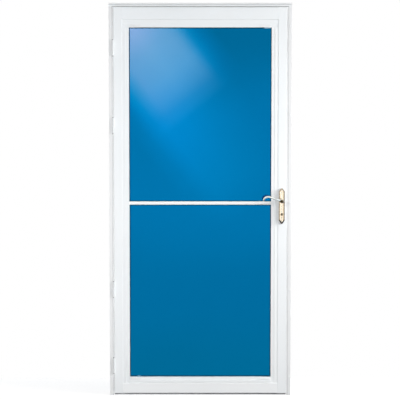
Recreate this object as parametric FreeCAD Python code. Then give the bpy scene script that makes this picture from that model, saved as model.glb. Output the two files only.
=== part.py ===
import FreeCAD, Part
import math
import os

# Full-view aluminium storm door, hinged on the left seen from outside.
# Millimetres, +Z up, +X to the right seen from outside, +Y towards the house.
# Y = 0 is the back of the mounting flanges, where they lie on the face of the
# door surround.  Pieces are drawn about the middle of the door and moved so
# that the origin lies on the foot of the hinge-side flange.

V = FreeCAD.Vector

# ---------------------------------------------------------------- driving sizes
OVERALL_W = 954.0          # over the two side flanges
OVERALL_H = 2061.0         # foot of the frame to the top of the head flange
FLANGE = 16.0              # side flange on the face of the surround
HEAD_FLANGE = 14.6         # head flange on the face of the surround
WALL = 1.6                 # wall of the frame extrusions
STOP_LEG = 9.5             # leg that the door closes towards
WEB_END = 39.6             # depth of the frame behind the flange
SIDE_GAP = 6.0             # door edge to frame
HEAD_GAP = 5.1             # door top to frame

OPEN_HALF = OVERALL_W / 2 - FLANGE           # outer face of the side webs
WEB_IN = OPEN_HALF - WALL                    # inner face of the side webs
OPEN_TOP = OVERALL_H - HEAD_FLANGE           # upper face of the head web
LEG_IN = OPEN_HALF - STOP_LEG                # free edge of the side legs

LEAF_HALF = WEB_IN - SIDE_GAP                # half width of the door leaf
LEAF_TOP = OPEN_TOP - WALL - HEAD_GAP
LEAF_BOT = 11.6
Y_OUT, Y_IN = -3.0, 29.0                     # outer and inner face of the leaf
TUBE_WALL = 1.6

STILE_IN = 408.0           # inner edge of the stiles
TOP_RAIL_Z = 1975.6        # lower edge of the top rail
BOT_RAIL_Z = 64.7          # upper edge of the bottom rail

SIGHT_HALF = 372.2         # visible glass, half width
SIGHT_TOP = 1934.6         # visible glass, top
SIGHT_BOT = 96.6           # visible glass, bottom
INS_OUT, INS_IN = -1.6, 27.0                 # outer and inner face of the glazing insert
BEAD_STEP = 390.0          # where the insert steps back to its bead
BEAD_Y = (-0.4, 0.4)       # the bead slopes from the step to the glass
GLASS_T = 3.2
UP_SLOT = (9.0, 13.0)      # groove of the upper pane
LO_SLOT = (17.0, 21.0)     # groove of the lower pane
BAR_LO, BAR_HI = 1010.1, 1027.0              # meeting rail
PANE_HALF = 380.0

HINGE_Z = (1828.0, 1424.0, 564.0, 160.0)     # middles of the four hinges
HINGE_LEN = 82.0
HINGE_X = -(WEB_IN + LEAF_HALF) / 2          # hinge line, in the middle of the gap
HINGE_Y = -9.5
KNUCKLE_R = 4.8
PIN_R = 2.45
PIN_BORE_R = 2.5
LEAF_T = 1.6

LOCK_X = 427.2             # axis of the lever and the key cylinder
PIVOT_Z = 1030.0           # lever axis
KEY_Z = 960.0              # key cylinder
KEY_R = 7.6                # face of the key cylinder
KEYWAY = (5.4, 13.2)       # width and height
PLATE_BOT, PLATE_TOP = 910.5, 1096.0         # ends of the handle plates
PLATE_HALF_W = 15.2
PLATE_T = 14.6             # at the middle of its crowned face
PLATE_EDGE = 8.0           # straight edge under the bevel
PLATE_BEVEL = 5.6          # width of the bevel
PLATE_RISE = 4.4           # height of the bevel
NECK_R = 8.2
NECK_BORE_R = 8.28
COLLAR_R = 12.0
COLLAR_T = 2.4
LEVER_OUT = 47.0           # door face to the middle of the lever
HUB_R = 9.6                # ball at the end of the lever's neck
FLANGE_SCREW_Z = (100.0, 560.0, 1020.0, 1480.0, 1940.0)
FLANGE_SCREW_R = 2.4
HEAD_SCREW_X = (-300.0, 300.0)
HEAD_SCREW_Z = OVERALL_H - 3.6

SHIFT = V(OVERALL_W / 2 - FLANGE / 2, 0, 0)  # middle of the door from the origin

os.makedirs("parts", exist_ok=True)


# ---------------------------------------------------------------- drawing helpers
def box(x0, x1, y0, y1, z0, z1):
    return Part.makeBox(x1 - x0, y1 - y0, z1 - z0, V(x0, y0, z0))


def outline(points, place):
    """Closed wire of straight runs; a point (u, v, r) has its corner rounded to r."""
    pts = [(p[0], p[1], p[2] if len(p) > 2 else 0.0) for p in points]
    n = len(pts)
    ins, outs, mids = [], [], []
    for i in range(n):
        u, v, r = pts[i]
        a = (pts[i - 1][0] - u, pts[i - 1][1] - v)
        b = (pts[(i + 1) % n][0] - u, pts[(i + 1) % n][1] - v)
        la, lb = math.hypot(*a), math.hypot(*b)
        a, b = (a[0] / la, a[1] / la), (b[0] / lb, b[1] / lb)
        if r <= 0:
            ins.append((u, v)), outs.append((u, v)), mids.append(None)
            continue
        ang = math.acos(max(-1.0, min(1.0, a[0] * b[0] + a[1] * b[1])))
        d = r / math.tan(ang / 2)
        bis = (a[0] + b[0], a[1] + b[1])
        lbis = math.hypot(*bis)
        bis = (bis[0] / lbis, bis[1] / lbis)
        reach = r / math.sin(ang / 2) - r
        ins.append((u + a[0] * d, v + a[1] * d))
        outs.append((u + b[0] * d, v + b[1] * d))
        mids.append((u + bis[0] * reach, v + bis[1] * reach))
    edges = []
    for i in range(n):
        if mids[i] is not None:
            edges.append(Part.Arc(place(*ins[i]), place(*mids[i]), place(*outs[i])).toShape())
        p, q = outs[i], ins[(i + 1) % n]
        if math.hypot(p[0] - q[0], p[1] - q[1]) > 1e-6:
            edges.append(Part.LineSegment(place(*p), place(*q)).toShape())
    return Part.Wire(edges)


def upright(points, z0, z1):
    """Section in X, Y drawn out along Z."""
    return Part.Face(outline(points, lambda u, v: V(u, v, z0))).extrude(V(0, 0, z1 - z0))


def level(points, x0, x1):
    """Section in Y, Z drawn out along X."""
    return Part.Face(outline(points, lambda u, v: V(x0, u, v))).extrude(V(x1 - x0, 0, 0))


def rod_y(x, z, r, y0, y1):
    return Part.makeCylinder(r, y1 - y0, V(x, y0, z), V(0, 1, 0))


def mirrored(shape):
    return shape.mirror(V(0, 0, 0), V(1, 0, 0))


pieces = {}


def keep(name, *solids):
    shape = solids[0] if len(solids) == 1 else Part.makeCompound(list(solids))
    pieces[name] = shape


# ---------------------------------------------------------------- frame of three Z-shaped extrusions
# Each extrusion is drawn as its three flat walls: the flange on the surround,
# the web into the opening and the stop leg behind the door.
SIDE_TOP = OPEN_TOP - WALL                   # the side extrusions end under the head
STRIKE_Z = (PIVOT_Z - 38.0, PIVOT_Z + 38.0)
STRIKE_Y = 2.0                               # front edge of the strike plate
STRIKE_SLOT_Y = (8.0, 18.0)
STRIKE_SLOT_Z = (PIVOT_Z - 15.0, PIVOT_Z + 15.0)


def side_flange(s):
    wall = upright(
        [
            (s * OVERALL_W / 2, 0.0),
            (s * OVERALL_W / 2, -WALL, 0.7),
            (s * OPEN_HALF, -WALL),
            (s * OPEN_HALF, 0.0),
        ],
        0.0,
        OPEN_TOP,
    )
    for z in FLANGE_SCREW_Z:
        wall = wall.cut(rod_y(s * (OPEN_HALF + FLANGE / 2), z, FLANGE_SCREW_R, -10, 10))
    return wall


def side_web(s, z0, z1):
    return upright(
        [
            (s * OPEN_HALF, WEB_END - WALL),
            (s * OPEN_HALF, -WALL),
            (s * WEB_IN, -WALL, 0.7),
            (s * WEB_IN, WEB_END - WALL),
        ],
        z0,
        z1,
    )


def side_stop(s):
    return upright(
        [
            (s * LEG_IN, WEB_END - WALL),
            (s * LEG_IN, WEB_END),
            (s * OPEN_HALF, WEB_END, 0.6),
            (s * OPEN_HALF, WEB_END - WALL),
        ],
        0.0,
        SIDE_TOP,
    )


keep("hinge_bar_flange", side_flange(-1))
keep("hinge_bar_web", side_web(-1, 0.0, SIDE_TOP))
keep("hinge_bar_stop", side_stop(-1))
keep("latch_bar_flange", side_flange(1))
keep("latch_bar_lower_web", side_web(1, 0.0, STRIKE_Z[0]))
keep("latch_bar_upper_web", side_web(1, STRIKE_Z[1], SIDE_TOP))
keep("latch_bar_stop", side_stop(1))
keep(
    "strike_plate",
    box(WEB_IN, OPEN_HALF, STRIKE_Y, WEB_END - WALL, *STRIKE_Z).cut(
        box(WEB_IN - 1, OPEN_HALF + 1, *STRIKE_SLOT_Y, *STRIKE_SLOT_Z)
    ),
)
keep("latch_bar_middle_web", box(WEB_IN, OPEN_HALF, -WALL, STRIKE_Y, *STRIKE_Z))

# head: the same walls, and a sloping rain cap that throws water clear of the door
NOSE = -12.0
head_flange = level(
    [(-WALL, OPEN_TOP), (-WALL, OVERALL_H, 0.7), (0, OVERALL_H), (0, OPEN_TOP)],
    -OVERALL_W / 2,
    OVERALL_W / 2,
)
for x in HEAD_SCREW_X:
    head_flange = head_flange.cut(rod_y(x, HEAD_SCREW_Z, FLANGE_SCREW_R, -10, 10))
keep("head_bar_flange", head_flange)
keep("head_bar_web", box(-OPEN_HALF, OPEN_HALF, -WALL, WEB_END, SIDE_TOP, OPEN_TOP))
keep("head_bar_stop", box(-LEG_IN, LEG_IN, WEB_END - WALL, WEB_END, OPEN_TOP - STOP_LEG, SIDE_TOP))
keep(
    "head_rain_cap",
    level(
        [
            (-WALL, OPEN_TOP + 7.6),
            (NOSE, OPEN_TOP + 4.0, 1.2),
            (NOSE, OPEN_TOP - WALL, 0.5),
            (NOSE + 1.5, OPEN_TOP - WALL, 0.5),
            (NOSE + 1.5, OPEN_TOP + 2.6),
            (-WALL, OPEN_TOP + 5.9),
        ],
        -OVERALL_W / 2,
        OVERALL_W / 2,
    ),
)

# pile strips on the legs, facing the door
STRIP_T = 4.0
strip_y0, strip_y1 = WEB_END - WALL - STRIP_T, WEB_END - WALL


def side_strip(s):
    a, b = LEG_IN + 1.0, LEG_IN + 6.8
    return upright(
        [
            (s * a, strip_y1),
            (s * a, strip_y1 - 1.0),
            (s * (a + 0.9), strip_y1 - 1.0),
            (s * (a + 0.9), strip_y0, 1.2),
            (s * (b - 0.9), strip_y0, 1.2),
            (s * (b - 0.9), strip_y1 - 1.0),
            (s * b, strip_y1 - 1.0),
            (s * b, strip_y1),
        ],
        4.0,
        OPEN_TOP - STOP_LEG,
    )


keep("hinge_side_weatherstrip", side_strip(-1))
keep("latch_side_weatherstrip", side_strip(1))
za, zb = OPEN_TOP - STOP_LEG + 1.0, OPEN_TOP - STOP_LEG + 6.8
keep(
    "header_weatherstrip",
    level(
        [
            (strip_y1, za),
            (strip_y1 - 1.0, za),
            (strip_y1 - 1.0, za + 0.9),
            (strip_y0, za + 0.9, 1.2),
            (strip_y0, zb - 0.9, 1.2),
            (strip_y1 - 1.0, zb - 0.9),
            (strip_y1 - 1.0, zb),
            (strip_y1, zb),
        ],
        -LEG_IN + 0.5,
        LEG_IN - 0.5,
    ),
)

# ---------------------------------------------------------------- door leaf: tubes butted at the corners
def tube_section(u0, u1, inset, r_out, r_in):
    """Rounded rectangle between u0 (outer edge) and u1 (inner edge), over the leaf's thickness."""
    s = 1 if u1 > u0 else -1
    return [
        (u0 + s * inset, Y_OUT + inset, max(r_out - inset, 0.4)),
        (u1 - s * inset, Y_OUT + inset, max(r_in - inset, 0.4)),
        (u1 - s * inset, Y_IN - inset, max(r_in - inset, 0.4)),
        (u0 + s * inset, Y_IN - inset, max(r_out - inset, 0.4)),
    ]


def stile(s):
    outer = upright(tube_section(s * LEAF_HALF, s * STILE_IN, 0, 2.6, 0.9), LEAF_BOT, LEAF_TOP)
    inner = upright(tube_section(s * LEAF_HALF, s * STILE_IN, TUBE_WALL, 2.6, 0.9), LEAF_BOT - 1, LEAF_TOP + 1)
    ends = [
        upright(tube_section(s * LEAF_HALF, s * STILE_IN, TUBE_WALL, 2.6, 0.9), z0, z1)
        for z0, z1 in ((LEAF_BOT, LEAF_BOT + 2.0), (LEAF_TOP - 2.0, LEAF_TOP))
    ]
    body = outer.cut(inner)
    for e in ends:
        body = body.fuse(e)
    return body.removeSplitter()


def rail(z_edge, z_inner, r_edge):
    def sec(inset):
        s = 1 if z_inner > z_edge else -1
        re, ri = max(r_edge - inset, 0.4), max(0.9 - inset, 0.4)
        return [
            (Y_OUT + inset, z_edge + s * inset, re),
            (Y_OUT + inset, z_inner - s * inset, ri),
            (Y_IN - inset, z_inner - s * inset, ri),
            (Y_IN - inset, z_edge + s * inset, re),
        ]

    return level(sec(0), -STILE_IN, STILE_IN).cut(level(sec(TUBE_WALL), -STILE_IN - 1, STILE_IN + 1))


FACEPLATE_Y = (3.0, 23.0)
FACEPLATE_Z = (PIVOT_Z - 90.0, PIVOT_Z + 50.0)

keep("hinge_stile", stile(-1))
latch_stile = stile(1)
latch_stile = latch_stile.cut(rod_y(LOCK_X, PIVOT_Z, 6.5, -20, 50))
latch_stile = latch_stile.cut(rod_y(LOCK_X, KEY_Z, KEY_R + 0.6, -20, 10))
latch_stile = latch_stile.cut(box(LEAF_HALF - TUBE_WALL, LEAF_HALF + 1, *FACEPLATE_Y, *FACEPLATE_Z))
keep("latch_stile", latch_stile)
keep("latch_faceplate", box(LEAF_HALF - TUBE_WALL, LEAF_HALF, *FACEPLATE_Y, *FACEPLATE_Z))
keep("top_rail", rail(LEAF_TOP, TOP_RAIL_Z, 2.6))
keep("bottom_rail", rail(LEAF_BOT, BOT_RAIL_Z, 2.6))

# ---------------------------------------------------------------- glazing insert, stepped back from the leaf
def track(s):
    """Side track: a hollow back and two grooves, one for each pane."""
    sec = [
        (STILE_IN, INS_OUT),
        (BEAD_STEP, INS_OUT, 0.8),
        (BEAD_STEP, BEAD_Y[0]),
        (SIGHT_HALF, BEAD_Y[1], 0.8),
        (SIGHT_HALF, UP_SLOT[0]),
        (SIGHT_HALF + 12, UP_SLOT[0]),
        (SIGHT_HALF + 12, UP_SLOT[1]),
        (SIGHT_HALF, UP_SLOT[1]),
        (SIGHT_HALF, LO_SLOT[0]),
        (SIGHT_HALF + 12, LO_SLOT[0]),
        (SIGHT_HALF + 12, LO_SLOT[1]),
        (SIGHT_HALF, LO_SLOT[1]),
        (SIGHT_HALF, 24.6, 0.8),
        (BEAD_STEP, INS_IN),
        (STILE_IN, INS_IN),
    ]
    body = upright([(s * p[0],) + tuple(p[1:]) for p in sec], BOT_RAIL_Z, SIGHT_TOP)
    a, b = s * (SIGHT_HALF + 15), s * (STILE_IN - 1.8)
    return body.cut(box(min(a, b), max(a, b), 5.0, 25.0, BOT_RAIL_Z - 1, SIGHT_TOP + 1))


keep("left_glass_track", track(-1))
keep("right_glass_track", track(1))

HEAD_GROOVE, SILL_GROOVE, GROOVE_Y = 0.8, 1.6, 3.6     # shadow grooves beside the rails
head_sec = [
    (GROOVE_Y, TOP_RAIL_Z),
    (GROOVE_Y, TOP_RAIL_Z - HEAD_GROOVE),
    (INS_OUT, TOP_RAIL_Z - HEAD_GROOVE),
    (INS_OUT, SIGHT_TOP + 19, 0.8),
    (BEAD_Y[0], SIGHT_TOP + 19),
    (BEAD_Y[1], SIGHT_TOP, 0.8),
    (UP_SLOT[0], SIGHT_TOP),
    (UP_SLOT[0], SIGHT_TOP + 11),
    (UP_SLOT[1], SIGHT_TOP + 11),
    (UP_SLOT[1], SIGHT_TOP),
    (24.6, SIGHT_TOP, 0.8),
    (INS_IN, SIGHT_TOP + 19),
    (INS_IN, TOP_RAIL_Z),
]
keep(
    "insert_head",
    level(head_sec, -STILE_IN, STILE_IN).cut(
        box(-STILE_IN - 1, STILE_IN + 1, 5.4, 25.0, SIGHT_TOP + 14, TOP_RAIL_Z - 1.8)
    ),
)
SILL_STEP = BOT_RAIL_Z + 16.8
sill_sec = [
    (GROOVE_Y, BOT_RAIL_Z),
    (GROOVE_Y, BOT_RAIL_Z + SILL_GROOVE),
    (INS_OUT, BOT_RAIL_Z + SILL_GROOVE),
    (INS_OUT, SILL_STEP, 0.8),
    (BEAD_Y[0], SILL_STEP),
    (BEAD_Y[1], SIGHT_BOT, 0.8),
    (LO_SLOT[0], SIGHT_BOT),
    (LO_SLOT[0], SIGHT_BOT - 11),
    (LO_SLOT[1], SIGHT_BOT - 11),
    (LO_SLOT[1], SIGHT_BOT),
    (24.6, SIGHT_BOT, 0.8),
    (INS_IN, SILL_STEP),
    (INS_IN, BOT_RAIL_Z),
]
keep(
    "insert_sill",
    level(sill_sec, -SIGHT_HALF, SIGHT_HALF).cut(
        box(-SIGHT_HALF - 1, SIGHT_HALF + 1, 5.4, 25.0, BOT_RAIL_Z + 1.8, SILL_STEP + 2)
    ),
)

# panes: the upper one stands in front of the lower one
up_y = (sum(UP_SLOT) - GLASS_T) / 2
lo_y = (sum(LO_SLOT) - GLASS_T) / 2
keep("upper_glass_pane", box(-PANE_HALF, PANE_HALF, up_y, up_y + GLASS_T, BAR_LO + 4.3, SIGHT_TOP + 9))
keep("lower_glass_pane", box(-PANE_HALF, PANE_HALF, lo_y, lo_y + GLASS_T, SIGHT_BOT - 9.4, BAR_HI - 4.0))

RAIL_END = SIGHT_HALF - 0.4
keep(
    "meeting_rail",
    level(
        [
            (3.6, BAR_LO, 2.2),
            (3.6, BAR_HI, 2.2),
            (UP_SLOT[0], BAR_HI),
            (UP_SLOT[0], BAR_LO + 3.8),
            (UP_SLOT[1], BAR_LO + 3.8),
            (UP_SLOT[1], BAR_HI),
            (15.4, BAR_HI, 0.6),
            (15.4, BAR_LO, 0.6),
        ],
        -RAIL_END,
        RAIL_END,
    ),
)
keep(
    "lower_pane_top_rail",
    level(
        [
            (15.8, BAR_LO),
            (15.8, BAR_HI),
            (24.4, BAR_HI, 2.2),
            (24.4, BAR_LO, 2.2),
            (LO_SLOT[1], BAR_LO),
            (LO_SLOT[1], BAR_HI - 3.5),
            (LO_SLOT[0], BAR_HI - 3.5),
            (LO_SLOT[0], BAR_LO),
        ],
        -RAIL_END,
        RAIL_END,
    ),
)

# small retainers near the four corners of the glass, on the sloping beads
def slope_sill(z):
    return BEAD_Y[0] + (z - SILL_STEP) * (BEAD_Y[1] - BEAD_Y[0]) / (SIGHT_BOT - SILL_STEP)


def slope_head(z):
    return BEAD_Y[0] + (SIGHT_TOP + 19 - z) * (BEAD_Y[1] - BEAD_Y[0]) / 19


clips = []
for x0, x1 in ((-366.0, -312.0), (312.0, 366.0)):
    z0, z1 = SILL_STEP + 2.0, SIGHT_BOT - 2.0
    clips.append(level([(slope_sill(z0), z0), (-1.8, z0, 0.5), (-1.8, z1 - 4.5, 1.0), (-0.9, z1, 0.4), (slope_sill(z1), z1)], x0, x1))
    z0, z1 = SIGHT_TOP + 2.0, SIGHT_TOP + 16.0
    clips.append(level([(slope_head(z0), z0), (-0.9, z0, 0.4), (-1.8, z0 + 5, 1.0), (-1.8, z1, 0.5), (slope_head(z1), z1)], x0, x1))
keep("glass_retainer_clips", *clips)

# roll-up insect screen, put away in its case over the glass on the house side
CASE_HALF = 398.0
CASE_LO, CASE_HI, CASE_Y = SIGHT_TOP + 12.0, TOP_RAIL_Z - 2.0, 44.0
case_sec = [
    (INS_IN, CASE_LO + 8.0),
    (INS_IN, CASE_HI),
    (CASE_Y - 4, CASE_HI, 3.0),
    (CASE_Y, CASE_HI - 8, 4.0),
    (CASE_Y, CASE_LO, 2.0),
    (CASE_Y - 4.5, CASE_LO),
    (CASE_Y - 4.5, CASE_LO + 8.0),
]
keep("screen_case", level(case_sec, -CASE_HALF, CASE_HALF))
end_sec = [(INS_IN, CASE_LO), (INS_IN, CASE_HI + 1, 1.0), (CASE_Y - 3.4, CASE_HI + 1, 3.4), (CASE_Y + 1, CASE_HI - 7.4, 4.4), (CASE_Y + 1, CASE_LO, 2.0)]
cap_r = level(end_sec, CASE_HALF, CASE_HALF + 7.0)
keep("screen_case_end_caps", cap_r, mirrored(cap_r))
keep(
    "screen_pull_bar",
    level(
        [
            (INS_IN + 1.0, CASE_LO - 1.5, 0.8),
            (INS_IN + 1.0, CASE_LO + 7.0, 0.8),
            (CASE_Y - 5.5, CASE_LO + 7.0, 0.8),
            (CASE_Y - 5.5, CASE_LO - 1.5, 1.5),
            (CASE_Y - 2.5, CASE_LO - 4.0, 0.6),
            (CASE_Y - 3.5, CASE_LO - 5.5, 0.6),
            (CASE_Y - 8.0, CASE_LO - 3.5, 0.6),
        ],
        -CASE_HALF + 24.0,
        CASE_HALF - 24.0,
    ),
)

# sweep under the door: a channel set back under the rail and a vinyl strip with two fins
SW = LEAF_BOT - 5.0
keep("sweep_carrier", box(-LEAF_HALF + 1.5, LEAF_HALF - 1.5, 4.0, 24.0, SW, LEAF_BOT))
keep(
    "bottom_sweep",
    level(
        [
            (4.6, SW),
            (4.6, SW - 1.8),
            (5.2, SW - 1.8),
            (4.4, SW - 4.6, 0.5),
            (6.0, SW - 4.6, 0.5),
            (7.4, SW - 1.8),
            (19.6, SW - 1.8),
            (18.8, SW - 4.6, 0.5),
            (20.4, SW - 4.6, 0.5),
            (21.8, SW - 1.8),
            (23.0, SW - 1.8),
            (23.0, SW),
        ],
        -LEAF_HALF + 2.0,
        LEAF_HALF - 2.0,
    ),
)

# ---------------------------------------------------------------- hinges
frame_leaves, door_leaves, pins = [], [], []
for hz in HINGE_Z:
    lo = hz - HINGE_LEN / 2
    seg = HINGE_LEN / 5
    cuts = [(lo + i * seg + (0.2 if i else 0.0), lo + (i + 1) * seg - (0.2 if i < 4 else 0.0)) for i in range(5)]

    def leaf(x0, x1, mine):
        plate = box(x0, x1, -4.0, 26.0, lo, lo + HINGE_LEN)
        for i in mine:
            z0, z1 = cuts[i]
            plate = plate.fuse(box(x0, x1, HINGE_Y, -4.0, z0, z1))
            plate = plate.fuse(Part.makeCylinder(KNUCKLE_R, z1 - z0, V(HINGE_X, HINGE_Y, z0)))
        plate = plate.removeSplitter()
        return plate.cut(Part.makeCylinder(PIN_BORE_R, HINGE_LEN + 4, V(HINGE_X, HINGE_Y, lo - 2)))

    frame_leaves.append(leaf(-WEB_IN, -WEB_IN + LEAF_T, (0, 2, 4)))
    door_leaves.append(leaf(-LEAF_HALF - LEAF_T, -LEAF_HALF, (1, 3)))
    pin = Part.makeCylinder(PIN_R, HINGE_LEN + 0.2, V(HINGE_X, HINGE_Y, lo - 0.1))
    for z, d in ((lo + HINGE_LEN, 1), (lo, -1)):
        knob = Part.makeCylinder(3.9, 1.6, V(HINGE_X, HINGE_Y, z), V(0, 0, d))
        dome = Part.makeCone(3.9, 2.0, 1.4, V(HINGE_X, HINGE_Y, z + d * 1.6), V(0, 0, d))
        pin = pin.fuse(knob).fuse(dome)
    pins.append(pin.removeSplitter())
keep("hinge_frame_leaves", *frame_leaves)
keep("hinge_door_leaves", *door_leaves)
keep("hinge_pins", *pins)

# ---------------------------------------------------------------- handle set
def plate_wire(inset, y):
    """Long plate with straight tapers to a blunt point at both ends, drawn in by inset, most at the foot."""
    w, tip = PLATE_HALF_W - inset, max(3.2 - 0.41 * inset, 1.0)
    top, bot = PLATE_TOP - inset, PLATE_BOT + 1.7 * inset
    up, dn = PLATE_TOP - 16.0 - 0.35 * inset, PLATE_BOT + 18.0 + 0.9 * inset
    pts = [(w, dn), (w, up), (tip, top), (-tip, top), (-w, up), (-w, dn), (-tip, bot), (tip, bot)]
    return Part.makePolygon([V(LOCK_X + u, y, v) for u, v in pts] + [V(LOCK_X + pts[0][0], y, pts[0][1])])


def handle_plate(y_back, d):
    """Straight edge, bevelled border and a face crowned across its width."""
    edge = Part.Face(plate_wire(0.0, y_back)).extrude(V(0, d * PLATE_EDGE, 0))
    bevel = Part.makeLoft(
        [plate_wire(0.0, y_back + d * PLATE_EDGE), plate_wire(PLATE_BEVEL, y_back + d * (PLATE_EDGE + PLATE_RISE))], True, True
    )
    crown_r = 26.0
    face = Part.Face(plate_wire(PLATE_BEVEL, y_back + d * (PLATE_EDGE + 2.0))).extrude(V(0, d * 8.0, 0))
    drum = Part.makeCylinder(crown_r, 260.0, V(LOCK_X, y_back + d * (PLATE_T - crown_r), PLATE_BOT - 40.0), V(0, 0, 1))
    face = face.common(drum)
    body = edge.fuse(bevel).fuse(face)
    a, b = sorted((y_back + d * 1.0, y_back + d * (PLATE_T + COLLAR_T)))
    body = body.fuse(rod_y(LOCK_X, PIVOT_Z, COLLAR_R, a, b)).removeSplitter()
    return body.cut(rod_y(LOCK_X, PIVOT_Z, NECK_BORE_R, -40, 70))


outside_plate = handle_plate(Y_OUT, -1).cut(rod_y(LOCK_X, KEY_Z, KEY_R + 0.05, -40, 10))
keep("outside_handle_plate", outside_plate)
keep("inside_handle_plate", handle_plate(Y_IN, 1))
KEY_FACE = Y_OUT - PLATE_T - 0.8
cylinder = rod_y(LOCK_X, KEY_Z, KEY_R, KEY_FACE, 8.0)
cylinder = cylinder.cut(box(LOCK_X - KEYWAY[0] / 2, LOCK_X + KEYWAY[0] / 2, KEY_FACE - 1, KEY_FACE + 9.0, KEY_Z - KEYWAY[1] / 2, KEY_Z + KEYWAY[1] / 2))
keep("key_cylinder", cylinder)
turn = rod_y(LOCK_X, KEY_Z, 8.0, Y_IN + PLATE_T - 1.2, Y_IN + PLATE_T + 3.0)
turn = turn.fuse(
    upright([(LOCK_X - 2.6, Y_IN + PLATE_T + 3.0), (LOCK_X - 2.6, Y_IN + PLATE_T + 14.0, 2.0), (LOCK_X + 2.6, Y_IN + PLATE_T + 14.0, 2.0), (LOCK_X + 2.6, Y_IN + PLATE_T + 3.0)], KEY_Z - 11.0, KEY_Z + 11.0)
)
keep("inside_thumbturn", turn.removeSplitter().cut(pieces["inside_handle_plate"]))

# lever: a neck out of the plate, a ball, and an arm that rises, crests and curls down
ARM = [  # along X, along Z, half height, half depth
    (3.0, -0.4, 6.8, 4.6),
    (-13.0, 5.0, 5.7, 3.8),
    (-30.0, 10.0, 4.9, 3.2),
    (-46.5, 15.2, 4.7, 2.9),
    (-61.0, 20.6, 4.9, 2.9),
    (-75.0, 23.2, 5.2, 3.0),
    (-87.0, 20.6, 5.2, 3.0),
    (-94.5, 13.2, 4.5, 2.8),
    (-97.5, 5.6, 3.2, 2.5),
]


def lever(y_face, d):
    y = y_face + d * LEVER_OUT
    wires = []
    for i, (x, z, h, t) in enumerate(ARM):
        p, q = ARM[max(i - 1, 0)], ARM[min(i + 1, len(ARM) - 1)]
        tx, tz = q[0] - p[0], q[1] - p[1]
        l = math.hypot(tx, tz)
        nx, nz = -tz / l, tx / l
        c = V(LOCK_X + x, y, PIVOT_Z + z)
        corners = [(-h, -t, 0.8 * t), (h, -t, 0.8 * t), (h, t, 0.8 * t), (-h, t, 0.8 * t)]
        wires.append(outline(corners, lambda u, v: c + V(nx * u, v, nz * u)))
    arm = Part.makeLoft(wires, True, False)
    tip = Part.makeSphere(2.65, V(LOCK_X + ARM[-1][0], y, PIVOT_Z + ARM[-1][1]))
    hub = Part.makeSphere(HUB_R, V(LOCK_X, y, PIVOT_Z))
    a, b = sorted((y_face, y))
    neck = rod_y(LOCK_X, PIVOT_Z, NECK_R, a, b)
    return arm.fuse(tip).fuse(hub).fuse(neck).removeSplitter()


keep("outside_lever", lever(Y_OUT, -1))
keep("inside_lever", lever(Y_IN, 1))
keep("lever_spindle", box(LOCK_X - 3.5, LOCK_X + 3.5, Y_OUT, Y_IN, PIVOT_Z - 3.5, PIVOT_Z + 3.5))

# ---------------------------------------------------------------- write each piece
total = 0.0
for name, shape in pieces.items():
    shape = shape.copy()
    shape.translate(SHIFT)
    ok = shape.isValid() and all(s.isClosed() for s in shape.Solids) and shape.Volume > 0
    total += shape.Volume
    print(f"{name:34s} solids {len(shape.Solids)} volume {shape.Volume/1000:9.2f} cm3 {'ok' if ok else 'CHECK'}")
    shape.exportStep(f"parts/{name}.step")
print(f"{len(pieces)} pieces, {total/1e6:.3f} litres of solid")
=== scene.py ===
import math
import random

import bmesh
import bpy
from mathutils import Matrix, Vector


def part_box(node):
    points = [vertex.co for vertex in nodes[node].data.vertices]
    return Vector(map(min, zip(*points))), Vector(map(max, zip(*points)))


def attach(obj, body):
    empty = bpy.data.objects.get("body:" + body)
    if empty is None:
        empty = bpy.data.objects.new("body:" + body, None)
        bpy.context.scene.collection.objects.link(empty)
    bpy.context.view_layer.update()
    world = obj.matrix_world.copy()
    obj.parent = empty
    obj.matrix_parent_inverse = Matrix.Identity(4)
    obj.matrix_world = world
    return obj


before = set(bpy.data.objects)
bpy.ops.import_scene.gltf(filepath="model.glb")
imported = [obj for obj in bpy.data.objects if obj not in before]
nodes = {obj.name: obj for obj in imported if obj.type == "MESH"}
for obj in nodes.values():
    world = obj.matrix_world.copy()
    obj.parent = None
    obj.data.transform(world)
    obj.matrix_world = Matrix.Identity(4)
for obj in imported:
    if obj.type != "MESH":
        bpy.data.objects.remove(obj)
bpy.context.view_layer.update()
scene = bpy.context.scene

MM = 0.001
MID = 469.0  # middle of the door from the row's origin, mm


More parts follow.
